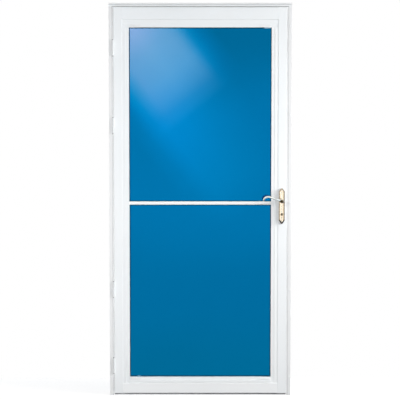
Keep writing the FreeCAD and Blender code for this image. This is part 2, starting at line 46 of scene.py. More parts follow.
# ---------------------------------------------------------------- node material helpers
class Mat:
    """A small builder for one node material, in the piece's own coordinates."""

    def __init__(self, name):
        self.m = bpy.data.materials.new(name)
        self.m.use_nodes = True
        self.t = self.m.node_tree
        self.t.nodes.clear()
        self.out = self.t.nodes.new("ShaderNodeOutputMaterial")
        self.coord = self.t.nodes.new("ShaderNodeTexCoord").outputs["Object"]

    def node(self, kind, **sets):
        n = self.t.nodes.new(kind)
        for k, v in sets.items():
            setattr(n, k, v)
        return n

    def link(self, a, b):
        self.t.links.new(a, b)

    def principled(self, **sets):
        p = self.node("ShaderNodeBsdfPrincipled")
        for k, v in sets.items():
            p.inputs[k.replace("_", " ")].default_value = v
        self.link(p.outputs[0], self.out.inputs["Surface"])
        self.p = p
        return p

    def stretched(self, sx, sy, sz):
        n = self.node("ShaderNodeMapping")
        n.inputs["Scale"].default_value = (sx, sy, sz)
        self.link(self.coord, n.inputs["Vector"])
        return n.outputs[0]

    def noise(self, scale, detail=3.0, rough=0.55, vector=None):
        n = self.node("ShaderNodeTexNoise")
        n.inputs["Scale"].default_value = scale
        n.inputs["Detail"].default_value = detail
        n.inputs["Roughness"].default_value = rough
        self.link(vector if vector is not None else self.coord, n.inputs["Vector"])
        return n.outputs["Fac"]

    def ramp(self, fac, stops, interp="LINEAR"):
        n = self.node("ShaderNodeValToRGB")
        cr = n.color_ramp
        cr.interpolation = interp
        while len(cr.elements) < len(stops):
            cr.elements.new(0.5)
        for e, (pos, col) in zip(cr.elements, stops):
            e.position = pos
            e.color = tuple(col) + (1.0,) if len(col) == 3 else tuple(col)
        self.link(fac, n.inputs["Fac"])
        return n.outputs["Color"]

    def remap(self, value, lo, hi, a=0.3, b=0.7):
        n = self.node("ShaderNodeMapRange")
        n.inputs["From Min"].default_value = a
        n.inputs["From Max"].default_value = b
        n.inputs["To Min"].default_value = lo
        n.inputs["To Max"].default_value = hi
        self.link(value, n.inputs["Value"])
        return n.outputs["Result"]

    def multiply(self, a, b, factor=1.0):
        n = self.node("ShaderNodeMix", data_type="RGBA", blend_type="MULTIPLY")
        n.inputs["Factor"].default_value = factor
        self.link(a, n.inputs["A"])
        self.link(b, n.inputs["B"])
        return n.outputs["Result"]

    def bump(self, height, strength, distance, normal=None):
        n = self.node("ShaderNodeBump")
        n.inputs["Strength"].default_value = strength
        n.inputs["Distance"].default_value = distance
        self.link(height, n.inputs["Height"])
        if normal is not None:
            self.link(normal, n.inputs["Normal"])
        return n.outputs["Normal"]

    def axis(self, which):
        n = self.node("ShaderNodeSeparateXYZ")
        self.link(self.coord, n.inputs[0])
        return n.outputs[which]


def enamel(name, lo, hi, rough=(0.30, 0.40), grain=None):
    """White baked enamel: slow colour drift, fine orange peel, uneven gloss."""
    m = Mat(name)
    p = m.principled()
    drift = m.ramp(m.noise(2.3, 4.0), [(0.32, lo), (0.68, hi)])
    specks = m.ramp(m.noise(420.0, 2.0), [(0.26, (0.95, 0.95, 0.945)), (0.36, (1, 1, 1))])
    m.link(m.multiply(drift, specks), p.inputs["Base Color"])
    m.link(m.remap(m.noise(38.0, 3.0), rough[0], rough[1]), p.inputs["Roughness"])
    peel = m.bump(m.noise(650.0, 2.0), 0.10, 0.0004)
    if grain:
        lines = m.bump(m.noise(1.0, 2.0, vector=m.stretched(*grain)), 0.05, 0.0003, normal=peel)
        peel = lines
    m.link(peel, p.inputs["Normal"])
    return m.m


WHITE_LO, WHITE_HI = (0.845, 0.868, 0.880), (0.875, 0.893, 0.902)
DULL_LO, DULL_HI = (0.775, 0.780, 0.783), (0.810, 0.814, 0.816)
UP, ACROSS = (900.0, 900.0, 3.0), (3.0, 900.0, 900.0)
white_v = enamel("white_enamel_drawn_upright", WHITE_LO, WHITE_HI, grain=UP)
white_h = enamel("white_enamel_drawn_level", WHITE_LO, WHITE_HI, grain=ACROSS)
# the two glass tracks are one white enamel, painted darker on the left and lighter on the right, against the light
# falling from the right
left_insert_painted_darker = enamel("insert_enamel_left_painted_darker", (0.815, 0.836, 0.848), (0.845, 0.862, 0.872), grain=UP)
right_insert_painted_lighter = enamel("insert_enamel_right_painted_lighter", (0.890, 0.908, 0.916), (0.912, 0.926, 0.932), grain=UP)
# painted light: the rails' white is lighter than the leaf's, to lift the rails where they fall in shade
rail_enamel_painted_lighter = enamel("rail_enamel_drawn_level_painted_lighter", (0.890, 0.904, 0.910), (0.915, 0.926, 0.930), grain=ACROSS)
bar_v = enamel("frame_enamel_drawn_upright", DULL_LO, DULL_HI, rough=(0.36, 0.48), grain=UP)
# painted light: the hinge-side frame bar is the frame's enamel made lighter, as the light falls from the right
hinge_bar_painted_lighter = enamel("frame_enamel_hinge_side_painted_lighter", (0.795, 0.800, 0.802), (0.828, 0.832, 0.834), rough=(0.36, 0.48), grain=UP)
# painted light: the head bar is lighter than the upright frame bars, lifting it where the rain cap sits in shade
head_bar_painted_lighter = enamel("frame_enamel_drawn_level_painted_lighter", (0.835, 0.848, 0.846), (0.862, 0.873, 0.870), rough=(0.36, 0.48), grain=ACROSS)
# painted shade: the hinges' white is darker than the frame's, toning down knuckles that face the light from the right
hinge_enamel_painted_darker = enamel("white_enamel_on_steel_painted_darker", (0.69, 0.705, 0.715), (0.73, 0.742, 0.75), rough=(0.36, 0.48))
white_screw = enamel("white_enamel_on_screws", (0.80, 0.81, 0.82), (0.84, 0.85, 0.855), rough=(0.30, 0.42))


def web_enamel_painted_shade(name, change):
    """Web enamel with painted shade: grey towards the leaf, darker grey on the side against the opening."""
    m = Mat(name)
    p = m.principled()
    off = m.node("ShaderNodeMath", operation="SUBTRACT")
    m.link(m.axis(0), off.inputs[0])
    off.inputs[1].default_value = MID * MM
    far = m.node("ShaderNodeMath", operation="ABSOLUTE")
    m.link(off.outputs[0], far.inputs[0])
    drift = m.noise(2.3, 4.0)
    # painted shade: the side against the opening is darker than the side towards the leaf
    shade_sides = m.node("ShaderNodeMix", data_type="RGBA")
    m.link(m.remap(far.outputs[0], 0.0, 1.0, (change - 0.2) * MM, (change + 0.2) * MM), shade_sides.inputs["Factor"])
    m.link(m.ramp(drift, [(0.32, (0.50, 0.505, 0.51)), (0.68, (0.54, 0.545, 0.55))]), shade_sides.inputs["A"])
    m.link(m.ramp(drift, [(0.32, (0.33, 0.335, 0.34)), (0.68, (0.38, 0.385, 0.39))]), shade_sides.inputs["B"])
    m.link(shade_sides.outputs["Result"], p.inputs["Base Color"])
    m.link(m.remap(m.noise(38.0, 3.0), 0.40, 0.52), p.inputs["Roughness"])
    peel = m.bump(m.noise(650.0, 2.0), 0.10, 0.0004)
    m.link(m.bump(m.noise(1.0, 2.0, vector=m.stretched(*UP)), 0.05, 0.0003, normal=peel), p.inputs["Normal"])
    return m.m


def plastic(name, lo, hi, rough=(0.42, 0.55), specular=0.5):
    m = Mat(name)
    p = m.principled(Specular_IOR_Level=specular)
    m.link(m.ramp(m.noise(25.0, 3.0), [(0.3, lo), (0.7, hi)]), p.inputs["Base Color"])
    m.link(m.remap(m.noise(130.0, 2.0), rough[0], rough[1]), p.inputs["Roughness"])
    m.link(m.bump(m.noise(1500.0, 2.0), 0.12, 0.0003), p.inputs["Normal"])
    return m.m


white_plastic = plastic("white_moulded_plastic", (0.82, 0.835, 0.845), (0.87, 0.88, 0.885))
dark_vinyl_painted_shade = plastic("dark_vinyl_painted_shade", (0.050, 0.051, 0.053), (0.085, 0.086, 0.088), rough=(0.5, 0.7))
pale_vinyl = plastic("pale_vinyl", (0.74, 0.745, 0.75), (0.80, 0.805, 0.81), rough=(0.5, 0.65))
keyway_black_painted_shade = plastic("black_tumblers_painted_shade", (0.006, 0.005, 0.004), (0.012, 0.010, 0.008), rough=(0.5, 0.7), specular=0.1)
tongue_plastic_painted_shade = plastic("grey_blue_plastic_painted_shade", (0.27, 0.40, 0.48), (0.32, 0.45, 0.53), rough=(0.22, 0.34))
# grey vinyl: on the head seal it is painted shade, the dark line in the gap above the leaf
grey_vinyl = plastic("grey_vinyl", (0.40, 0.405, 0.41), (0.46, 0.465, 0.47), rough=(0.5, 0.65))
# white vinyl: a lighter copy of the pale vinyl, painted light for the seals in the leaf's shadow
white_vinyl = plastic("white_vinyl", (0.87, 0.88, 0.885), (0.91, 0.915, 0.92), rough=(0.45, 0.6))
bead_vinyl = plastic("glazing_vinyl", (0.004, 0.030, 0.050), (0.009, 0.042, 0.066), rough=(0.55, 0.75), specular=0.12)


def metal(name, lo, hi, rough, stretch, bump=0.06):
    m = Mat(name)
    p = m.principled(Metallic=1.0)
    m.link(m.ramp(m.noise(60.0, 3.0), [(0.3, lo), (0.7, hi)]), p.inputs["Base Color"])
    lines = m.noise(1.0, 3.0, vector=m.stretched(*stretch))
    m.link(m.remap(lines, rough[0], rough[1]), p.inputs["Roughness"])
    m.link(m.bump(lines, bump, 0.0002), p.inputs["Normal"])
    return m.m


brass = metal("polished_brass", (0.74, 0.615, 0.465), (0.79, 0.66, 0.515), (0.20, 0.30), (900, 900, 250))
# darker, rougher brass; on the key cylinder its darkness is painted shade round the keyhole
dull_brass_and_painted_shade = metal("dull_brass_and_painted_shade", (0.42, 0.33, 0.21), (0.50, 0.40, 0.26), (0.26, 0.36), (900, 900, 250))
steel = metal("zinc_plated_steel", (0.56, 0.56, 0.57), (0.68, 0.68, 0.69), (0.26, 0.42), (700, 700, 120))
# painted shade: the pins' dark steel gives the shade at the ends of the hinge knuckles
pin_steel_painted_shade = metal("dark_pin_steel_painted_shade", (0.20, 0.20, 0.205), (0.30, 0.30, 0.305), (0.34, 0.48), (700, 700, 120))


def lever_brass(name, hub_x, hub_z):
    """Pale polished brass, with painted shade: dark brown round the hub where it meets the plate."""
    m = Mat(name)
    p = m.principled(Metallic=1.0)
    lines = m.noise(1.0, 3.0, vector=m.stretched(900, 900, 250))
    pale = m.ramp(m.noise(60.0, 3.0), [(0.3, (0.69, 0.665, 0.605)), (0.7, (0.74, 0.715, 0.655))])
    apart = m.node("ShaderNodeSeparateXYZ")
    m.link(m.coord, apart.inputs[0])
    flat = m.node("ShaderNodeCombineXYZ")
    m.link(apart.outputs["X"], flat.inputs["X"])
    m.link(apart.outputs["Z"], flat.inputs["Z"])
    reach = m.node("ShaderNodeVectorMath", operation="DISTANCE")
    m.link(flat.outputs[0], reach.inputs[0])
    reach.inputs[1].default_value = (hub_x * MM, 0.0, hub_z * MM)
    # painted shade: dark brown within about 6 mm of the hub's axis, fading out by about 11 mm
    painted_hub_shade = m.ramp(m.remap(reach.outputs["Value"], 0.0, 1.0, 0.0, 0.016), [(0.0, (0.10, 0.07, 0.03)), (0.38, (0.15, 0.11, 0.05)), (0.66, (1, 1, 1))])
    m.link(m.multiply(pale, painted_hub_shade), p.inputs["Base Color"])
    m.link(m.remap(lines, 0.26, 0.34), p.inputs["Roughness"])
    m.link(m.bump(lines, 0.05, 0.0002), p.inputs["Normal"])
    return m.m


def pane_glass(name):
    """Thin blue glass: what is behind shows through it tinted, and its faces mirror the room. Its tint has a painted
    glow: lighter at mid-height, darker towards the top and bottom.
    """
    m = Mat(name)
    z = m.axis(2)
    # blue tint with painted light: lighter at mid-height, darker towards the top and bottom
    sky = m.ramp(
        m.remap(z, 0.0, 1.0, 0.09, 1.94),
        [
            (0.0, (0.012, 0.402, 0.590)),
            (0.25, (0.012, 0.412, 0.630)),
            (0.50, (0.012, 0.445, 0.690)),
            (0.72, (0.012, 0.438, 0.680)),
            (1.0, (0.012, 0.392, 0.590)),
        ],
        "EASE",
    )
    cloud = m.ramp(m.noise(1.6, 3.0), [(0.3, (0.975, 0.975, 0.975)), (0.7, (1, 1, 1))])
    tint = m.multiply(sky, cloud)
    clear = m.node("ShaderNodeBsdfTransparent")
    m.link(tint, clear.inputs["Color"])
    gloss = m.node("ShaderNodeBsdfGlossy")
    gloss.inputs["Color"].default_value = (0.96, 0.98, 1.0, 1.0)
    m.link(m.remap(m.noise(9.0, 3.0), 0.012, 0.030), gloss.inputs["Roughness"])
    m.link(m.bump(m.noise(2.2, 1.0), 0.012, 0.002), gloss.inputs["Normal"])
    slant = m.node("ShaderNodeLayerWeight")
    slant.inputs["Blend"].default_value = 0.5
    share = m.ramp(
        slant.outputs["Facing"],
        [(f, (0.04 + 0.96 * f**5,) * 3) for f in (0.0, 0.3, 0.45, 0.6, 0.7, 0.8, 0.9, 1.0)],
    )
    mix = m.node("ShaderNodeMixShader")
    m.link(share, mix.inputs["Fac"])
    m.link(clear.outputs[0], mix.inputs[1])
    m.link(gloss.outputs[0], mix.inputs[2])
    m.link(mix.outputs[0], m.out.inputs["Surface"])
    return m.m


glass = pane_glass("blue_pane_glass")


def pile_mat(name):
    m = Mat(name)
    p = m.principled(Sheen_Weight=0.4, Sheen_Roughness=0.5)
    fibre = m.noise(1.0, 3.0, vector=m.stretched(1600, 200, 1600))
    m.link(m.ramp(fibre, [(0.3, (0.58, 0.59, 0.60)), (0.7, (0.78, 0.785, 0.79))]), p.inputs["Base Color"])
    m.link(m.remap(fibre, 0.8, 0.98), p.inputs["Roughness"])
    m.link(m.bump(fibre, 0.5, 0.0006), p.inputs["Normal"])
    return m.m


pile = pile_mat("woven_pile")
# the lever's brass carries painted shade round its hub
pale_brass = lever_brass("polished_lever_brass", 427.2 + MID - 4.4, 1030.0 + 0.4)

web_lo, web_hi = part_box("hinge_bar_web")
webs_painted_shade = web_enamel_painted_shade("webs_grey_painted_shade", MID - (web_lo[0] + web_hi[0]) / 2 / MM)

finish = {}
for n in ("hinge_stile", "latch_stile"):
    finish[n] = white_v
finish["left_glass_track"], finish["right_glass_track"] = left_insert_painted_darker, right_insert_painted_lighter
for n in ("bottom_rail", "meeting_rail"):
    finish[n] = rail_enamel_painted_lighter
for n in ("hinge_bar_flange", "hinge_bar_stop"):
    finish[n] = hinge_bar_painted_lighter
for n in ("latch_bar_flange", "latch_bar_stop"):
    finish[n] = bar_v
for n in ("hinge_bar_web", "latch_bar_lower_web", "latch_bar_middle_web", "latch_bar_upper_web"):
    finish[n] = webs_painted_shade
for n in ("head_bar_flange", "head_bar_web", "head_bar_stop"):
    finish[n] = head_bar_painted_lighter
for n in ("hinge_side_weatherstrip", "latch_side_weatherstrip", "header_weatherstrip"):
    finish[n] = pile
for n in ("upper_glass_pane", "lower_glass_pane"):
    finish[n] = glass
for n in ("glass_retainer_clips", "screen_case_end_caps"):
    finish[n] = white_plastic
for n in ("strike_plate", "latch_faceplate", "lever_spindle"):
    finish[n] = steel
finish["hinge_pins"] = pin_steel_painted_shade
for n in ("hinge_frame_leaves", "hinge_door_leaves"):
    finish[n] = hinge_enamel_painted_darker
for n in ("outside_handle_plate", "inside_handle_plate", "inside_thumbturn"):
    finish[n] = brass
# painted shade: the key cylinder's darker brass gives the dark ring round the keyhole
finish["key_cylinder"] = dull_brass_and_painted_shade
for n in ("outside_lever", "inside_lever"):
    finish[n] = pale_brass
# the sweep carrier is dark vinyl; its darkness is a painted shadow line under the bottom rail
finish["sweep_carrier"] = dark_vinyl_painted_shade
finish["bottom_sweep"] = pale_vinyl
for name, ob in nodes.items():
    ob.data.materials.clear()
    ob.data.materials.append(finish.get(name, white_h))


# ---------------------------------------------------------------- mesh helpers, millimetres
class Bunch:
    """Many small closed shapes gathered into one mesh."""

    def __init__(self):
        self.v, self.f = [], []

    def add(self, verts, faces):
        k = len(self.v)
        self.v += [tuple(p) for p in verts]
        self.f += [tuple(i + k for i in f) for f in faces]

    def done(self, name, mat, body, slot, smooth=32.0):
        me = bpy.data.meshes.new(name)
        me.from_pydata([(x * MM, y * MM, z * MM) for x, y, z in self.v], [], self.f)
        bm = bmesh.new()
        bm.from_mesh(me)
        bmesh.ops.recalc_face_normals(bm, faces=bm.faces)
        bm.to_mesh(me)
        bm.free()
        for p in me.polygons:
            p.use_smooth = True
        me.set_sharp_from_angle(angle=math.radians(smooth))
        me.materials.append(mat)
        ob = bpy.data.objects.new(name, me)
        scene.collection.objects.link(ob)
        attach(ob, body)
        return ob


def lohi(node):
    a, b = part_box(node)
    return [v / MM for v in a], [v / MM for v in b]


def rings(loops, cap_start=True, cap_end=True):
    """Closed skin through loops of equal length."""
    n = len(loops[0])
    v = [p for l in loops for p in l]
    f = []
    for i in range(len(loops) - 1):
        for j in range(n):
            k = (j + 1) % n
            f.append((i * n + j, i * n + k, (i + 1) * n + k, (i + 1) * n + j))
    if cap_start:
        f.append(tuple(reversed(range(n))))
    if cap_end:
        f.append(tuple(range((len(loops) - 1) * n, len(loops) * n)))
    return v, f


AXES = {
    "-y": (Vector((1, 0, 0)), Vector((0, 0, 1)), Vector((0, -1, 0))),
    "+y": (Vector((-1, 0, 0)), Vector((0, 0, 1)), Vector((0, 1, 0))),
    "+x": (Vector((0, 1, 0)), Vector((0, 0, 1)), Vector((1, 0, 0))),
    "-x": (Vector((0, -1, 0)), Vector((0, 0, 1)), Vector((-1, 0, 0))),
}


def screw(at, axis, radius, height, recess="cross", turn=0.0, sunk=0.3):
    """Domed screw head with a cross or a single slot pressed into it."""
    u, v, w = AXES[axis]
    half_w, half_l = (0.13 * radius, 0.52 * radius) if recess == "cross" else (0.12 * radius, 0.80 * radius)
    corner = math.atan2(half_w, half_l)
    angles = set(round(i * math.tau / 28, 5) for i in range(28))
    for q in range(4 if recess == "cross" else 2):
        base = q * math.pi / (2 if recess == "cross" else 1)
        angles |= {round((base + d) % math.tau, 5) for d in (corner, -corner)}
        if recess == "cross":
            angles.add(round((base + math.pi / 4) % math.tau, 5))
    angles = sorted(angles)

    def edge(t):
        if recess == "cross":
            t = abs((t + math.pi / 4) % (math.pi / 2) - math.pi / 4)
            return half_l / math.cos(t) if math.tan(t) * half_l <= half_w else half_w / math.sin(t)
        c, s = abs(math.cos(t)), abs(math.sin(t))
        return min(half_l / c if c > 1e-6 else 9e9, half_w / s if s > 1e-6 else 9e9)

    def dome(r):
        return height * (1.0 - 0.72 * (r / radius) ** 2)

    centre = Vector(at)

    def point(r, t, h):
        return centre + u * (r * math.cos(t + turn)) + v * (r * math.sin(t + turn)) + w * h

    deep = dome(0.0) * 0.35 - 0.15
    loops = [[point(0.82 * edge(t), t, deep) for t in angles], [point(edge(t), t, dome(edge(t))) for t in angles]]
    for part in (0.3, 0.62, 0.86, 1.0):
        loops.append([point(edge(t) + (radius - edge(t)) * part, t, dome(edge(t) + (radius - edge(t)) * part)) for t in angles])
    loops.append([point(radius, t, -sunk) for t in angles])
    return rings(loops)


# ---------------------------------------------------------------- fixings
key_lo, key_hi = lohi("key_cylinder")
LOCK_X = (key_lo[0] + key_hi[0]) / 2
LEAF_FACE, LEAF_BACK = lohi("hinge_stile")[0][1], lohi("hinge_stile")[1][1]
PIVOT_Z, KEY_Z = 1030.0, 960.0
flange_y = lohi("hinge_bar_flange")[0][1]

b = Bunch()
for x in (0.0, 2 * MID):
    for i, z in enumerate((100.0, 560.0, 1020.0, 1480.0, 1940.0)):
        b.add(*screw((x, flange_y, z), "-y", 4.2, 2.1, turn=0.35 + 0.9 * i + x))
for i, x in enumerate((MID - 300.0, MID + 300.0)):
    b.add(*screw((x, flange_y, 2057.4), "-y", 3.2, 1.7, turn=0.2 + 0.7 * i))
b.done("frame_screws", white_screw, "frame", "white_aluminium")

on_frame, on_door = Bunch(), Bunch()
frame_leaf_x = -459.4 + 1.6 + MID
door_leaf_x = -453.4 - 1.6 + MID
for k, hz in enumerate((1828.0, 1424.0, 564.0, 160.0)):
    for i, (dy, dz) in enumerate(((5.0, -27.0), (17.5, 0.0), (5.0, 27.0))):
        on_frame.add(*screw((frame_leaf_x, dy, hz + dz), "+x", 3.5, 0.75, turn=0.4 * i + k))
        on_door.add(*screw((door_leaf_x, dy, hz + dz), "-x", 3.5, 0.75, turn=0.5 * i + 0.6 * k))
on_frame.done("hinge_screws_on_frame", steel, "frame", "plated_steel")
on_door.done("hinge_screws_on_door", steel, "door_leaf", "plated_steel")

b = Bunch()
strike_x = lohi("strike_plate")[0][0]
for i, dz in enumerate((-29.0, 29.0)):
    b.add(*screw((strike_x, 13.0, PIVOT_Z + dz), "-x", 3.4, 0.8, turn=0.5 + i))
b.done("strike_screws", steel, "frame", "plated_steel")
b = Bunch()
face_x = lohi("latch_faceplate")[1][0]
for i, dz in enumerate((-82.0, 42.0)):
    b.add(*screw((face_x, 13.0, PIVOT_Z + dz), "+x", 3.2, 0.7, turn=0.9 + i))
b.done("faceplate_screws", steel, "door_leaf", "plated_steel")

# spring latch bolt, drawn back until only its nose stands out of the faceplate
b = Bunch()
bolt = []
for x, grow, nose in ((face_x - 0.3, 0.0, 0.0), (face_x + 0.4, 0.0, 0.8), (face_x + 0.9, 0.25, 2.6), (face_x + 1.2, 0.8, 4.2)):
    y0, y1 = 8.8 + grow, 17.2 - nose - grow * 0.5
    z0, z1 = PIVOT_Z - 11.5 + grow, PIVOT_Z + 11.5 - grow
    c = 0.7
    bolt.append([(x, y0 + c, z0), (x, y1 - c, z0), (x, y1, z0 + c), (x, y1, z1 - c), (x, y1 - c, z1), (x, y0 + c, z1), (x, y0, z1 - c), (x, y0, z0 + c)])
b.add(*rings(bolt))
b.done("latch_bolt_nose", steel, "door_leaf", "plated_steel")

# handle fixings
COLLAR = 2.4  # how far the lever collars stand out of the plates
out_y, in_y = lohi("outside_handle_plate")[0][1] + COLLAR, lohi("inside_handle_plate")[1][1] - COLLAR
b = Bunch()
b.add(*screw((LOCK_X, out_y + 0.15, 943.0), "-y", 2.7, 0.9, recess="slot", turn=0.4))
for i, z in enumerate((941.0, 1077.0)):
    b.add(*screw((LOCK_X, in_y - 0.15, z), "+y", 3.0, 1.0, recess="cross", turn=0.3 + i))
b.done("handle_screws", dull_brass_and_painted_shade, "door_leaf", "brass")

# tumblers at the back of the keyway, near black as painted shade inside the keyhole
b = Bunch()
half, tall, back = 2.65, 6.55, key_lo[1] + 1.2
way_in = [(-half, -tall), (-0.5, -tall), (-0.5, -tall + 1.6), (0.6, -tall + 1.6), (0.6, -tall), (half, -tall), (half, tall - 0.8), (half - 0.8, tall), (-half + 0.8, tall), (-half, tall - 0.8)]
b.add(*rings([[(LOCK_X + u, y, KEY_Z + v) for u, v in way_in] for y in (back, back + 6.0)]))
b.done("keyway_tumblers_painted_shade", keyway_black_painted_shade, "door_leaf", "plated_steel")

# end-cap screws of the screen case
b = Bunch()
cap_lo, cap_hi = lohi("screen_case_end_caps")
for i, x in enumerate((cap_lo[0] + 3.5, cap_hi[0] - 3.5)):
    b.add(*screw((x, cap_hi[1] - 0.05, cap_lo[2] + 12.0), "+y", 2.4, 0.9, turn=0.7 + i))
b.done("screen_case_screws", white_screw, "door_leaf", "white_plastic")

# ---------------------------------------------------------------- glazing vinyl round both faces of each pane
side = lohi("left_glass_track")[1][0]
open_l, open_r = side, 2 * MID - side
top_z, bot_z = lohi("insert_head")[0][2], lohi("insert_sill")[1][2]
bar_lo, bar_hi = lohi("meeting_rail")[0][2], lohi("meeting_rail")[1][2]
up_f, up_b = lohi("upper_glass_pane")[0][1], lohi("upper_glass_pane")[1][1]
lo_f, lo_b = lohi("lower_glass_pane")[0][1], lohi("lower_glass_pane")[1][1]


def bead(face, out, z0, z1, reach=4.2, thick=2.2):
    """Mitred soft strip along the four sides of an opening, against one face of the glass."""
    profile = [(0.04, 0.03), (reach, 0.03), (reach - 0.1, 0.35 * thick), (0.62 * reach, 0.8 * thick), (0.25 * reach, thick), (0.04, thick)]
    loops = []
    for a, h in profile:
        y = face + out * h
        loops.append([(open_l + a, y, z0 + a), (open_r - a, y, z0 + a), (open_r - a, y, z1 - a), (open_l + a, y, z1 - a)])
    v, f = rings(loops, False, False)
    n = len(profile)
    for j in range(4):
        k = (j + 1) % 4
        f.append(((n - 1) * 4 + j, (n - 1) * 4 + k, k, j))
    return v, f


b = Bunch()
b.add(*bead(up_f, -1, bar_hi, top_z))
b.add(*bead(up_b, 1, bar_hi, top_z))
b.done("upper_pane_glazing_strip", bead_vinyl, "door_leaf", "grey_vinyl", smooth=50)
b = Bunch()
b.add(*bead(lo_f, -1, bot_z, bar_lo))
b.add(*bead(lo_b, 1, bot_z, bar_lo))
b.done("lower_pane_glazing_strip", bead_vinyl, "door_leaf", "grey_vinyl", smooth=50)

# ---------------------------------------------------------------- tongues of two retainers, over the edge of the glass
def tongue(x0, x1, root, tip, r):
    """Thin tab with rounded free corners and eased front edges."""
    d = 1.0 if tip > root else -1.0
    loops = []
    for y, ease in ((1.2, 0.5), (1.4, 0.2), (1.65, 0.0), (2.6, 0.0)):
        a, b, t = x0 + ease, x1 - ease, tip - d * ease
        turn = [i * math.pi / 12 for i in range(7)]
        loop = [(a, root), (b, root)]
        loop += [(b - r + r * math.cos(k), t - d * r + d * r * math.sin(k)) for k in turn]
        loop += [(a + r - r * math.sin(k), t - d * r + d * r * math.cos(k)) for k in turn]
        loops.append([(x, y, z) for x, z in loop])
    return rings(loops)


b = Bunch()
b.add(*tongue(801.5, 838.5, top_z + 0.3, top_z - 4.9, 2.4))
b.add(*tongue(135.5, 156.0, bot_z - 0.3, bot_z + 6.4, 5.0))
# the tongues' grey-blue plastic is painted shade: it gives the clips their shaded tone
b.done("retainer_tongues", tongue_plastic_painted_shade, "door_leaf", "white_plastic", smooth=40)

# ---------------------------------------------------------------- pile on the weatherstrips
rnd = random.Random(41)


def tufts(name, x0, x1, z0, z1, y, along):
    """Fine upright fibres standing out of a woven base, each a slim closed spike."""
    b = Bunch()
    count = int((z1 - z0 if along == "z" else x1 - x0) / 0.95)
    rows = 4
    for i in range(count):
        for r in range(rows):
            p = (i + rnd.random()) / count
            q = (r + 0.15 + 0.7 * rnd.random()) / rows
            x = x0 + (x1 - x0) * (q if along == "z" else p)
            z = z0 + (z1 - z0) * (p if along == "z" else q)
            length = 1.7 + 0.8 * rnd.random()
            lean_x, lean_z = 0.7 * (rnd.random() - 0.5), 0.7 * (rnd.random() - 0.5)
            turn = rnd.random() * 2.1
            base = [(x + 0.30 * math.cos(turn + k * 2.094), y + 0.25, z + 0.30 * math.sin(turn + k * 2.094)) for k in range(3)]
            b.add(base + [(x + lean_x, y - length, z + lean_z)], [(0, 1, 2), (0, 3, 1), (1, 3, 2), (2, 3, 0)])
    return b.done(name, pile, "frame", "pile", smooth=180)


for n, along in (("hinge_side_weatherstrip", "z"), ("latch_side_weatherstrip", "z"), ("header_weatherstrip", "x")):
    lo, hi = lohi(n)
    inset = 1.0
    if along == "z":
        tufts(n + "_fibres", lo[0] + inset, hi[0] - inset, lo[2] + 1, hi[2] - 1, lo[1], along)
    else:
        tufts(n + "_fibres", lo[0] + 1, hi[0] - 1, lo[2] + inset, hi[2] - inset, lo[1], along)

# ---------------------------------------------------------------- soft seals in the gap round the leaf
web_l, web_r = lohi("hinge_bar_web")[1][0], lohi("latch_bar_upper_web")[0][0]
leaf_l, leaf_r = lohi("hinge_stile")[0][0], lohi("latch_stile")[1][0]
head_z, leaf_z = lohi("head_bar_web")[0][2], lohi("top_rail")[1][2]


def seal_section(root, tip):
    """Fin on a small foot; root is the frame's face, tip the free edge, and y runs into the gap."""
    s = 1.0 if tip > root else -1.0
    return [
        (root - s * 0.05, 3.2),
        (root - s * 0.05, -0.7),
        (root + s * 0.9, -1.25),
        (tip - s * 0.9, -1.15),
        (tip - s * 0.2, -0.9),
        (tip, -0.4),
        (tip - s * 0.2, 0.1),
        (tip - s * 0.9, 0.3),
        (root + s * 1.2, 0.45),
        (root + s * 1.0, 3.2),
    ]


def side_seal(name, root, tip, spans, mat):
    b = Bunch()
    for z0, z1 in spans:
        b.add(*rings([[(x, y, z) for x, y in seal_section(root, tip)] for z in (z0, z1)]))
    b.done(name, mat, "frame", "white_vinyl", smooth=40)


cuts = [2.0] + [z + d for z in (160.0, 564.0, 1424.0, 1828.0) for d in (-43.0, 43.0)] + [head_z - 4.5]
# the side seals' white vinyl is painted light, lifting the seals where the leaf's edge shades them
side_seal("hinge_side_front_seal", web_l, leaf_l - 0.8, list(zip(cuts[0::2], cuts[1::2])), white_vinyl)
side_seal("latch_side_front_seal", web_r, leaf_r + 1.5, [(2.0, head_z - 4.5)], white_vinyl)
b = Bunch()
# the head seal is grey vinyl as painted shade in the gap above the leaf
b.add(*rings([[(x, y, z) for z, y in seal_section(head_z, leaf_z + 1.2)] for x in (web_l + 0.2, web_r - 0.2)]))
b.done("head_front_seal", grey_vinyl, "frame", "white_vinyl", smooth=40)

# ---------------------------------------------------------------- stage, camera and light
def plane(name, x0, x1, y0, y1, z, mat):
    me = bpy.data.meshes.new(name)
    me.from_pydata([(x0, y0, z), (x1, y0, z), (x1, y1, z), (x0, y1, z)], [], [(0, 1, 2, 3)])
    ob = bpy.data.objects.new(name, me)
    scene.collection.objects.link(ob)
    me.materials.append(mat)
    return ob


fm = Mat("pale_floor")
fp = fm.principled(Emission_Color=(1, 1, 1, 1), Emission_Strength=0.66)
fm.link(fm.ramp(fm.noise(1.2, 3.0), [(0.3, (0.34, 0.34, 0.34)), (0.7, (0.37, 0.37, 0.37))]), fp.inputs["Base Color"])
fm.link(fm.remap(fm.noise(30.0, 2.0), 0.6, 0.75), fp.inputs["Roughness"])
floor = plane("floor", -1.3, 2.25, -0.7, 0.42, 0.0, fm.m)
floor.visible_glossy = False
floor.visible_diffuse = False

cam_data = bpy.data.cameras.new("camera")
cam_data.sensor_width = 36.0
cam_data.lens = 99.0
cam_data.clip_start, cam_data.clip_end = 0.05, 100.0
cam = bpy.data.objects.new("camera", cam_data)
cam.location = (MID * MM - 0.0013, -5.7647, 1.337)
cam.rotation_euler = (math.radians(87.0), 0.0, 0.0)
scene.collection.objects.link(cam)
scene.camera = cam

